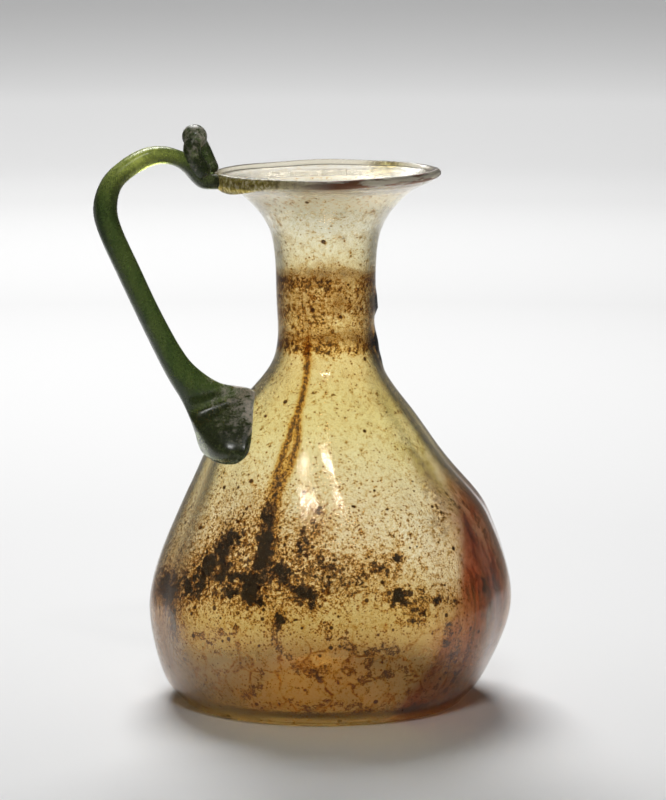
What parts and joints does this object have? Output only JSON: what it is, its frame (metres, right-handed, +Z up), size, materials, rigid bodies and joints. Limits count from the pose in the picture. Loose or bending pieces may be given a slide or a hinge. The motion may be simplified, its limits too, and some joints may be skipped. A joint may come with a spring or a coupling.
{
  "type": "glass jug",
  "caption": "Free-blown pear-shaped glass jug with a folded funnel mouth, ribbed body, pushed-in base and a drawn side handle ending in a looped thumb-rest.",
  "frame": {"origin": "under the middle of the whole jug, handle included, on the surface it stands on", "axes": "+Z up along the neck, the handle lies along -X, +Y completes the right-handed frame"},
  "size_m": [0.1048, 0.0904, 0.1431],
  "materials": {
    "amber_glass": "clear honey-coloured blown glass, weathered, with brown and black iron stains, pits and a reddish flank",
    "green_glass": "deep green drawn glass with bubbles, a glossy skin and a pale film near the shoulder"
  },
  "bodies": {
    "root": {"vessel": "amber_glass", "handle": "green_glass", "thumb_rest": "green_glass"}
  },
  "joints": []
}
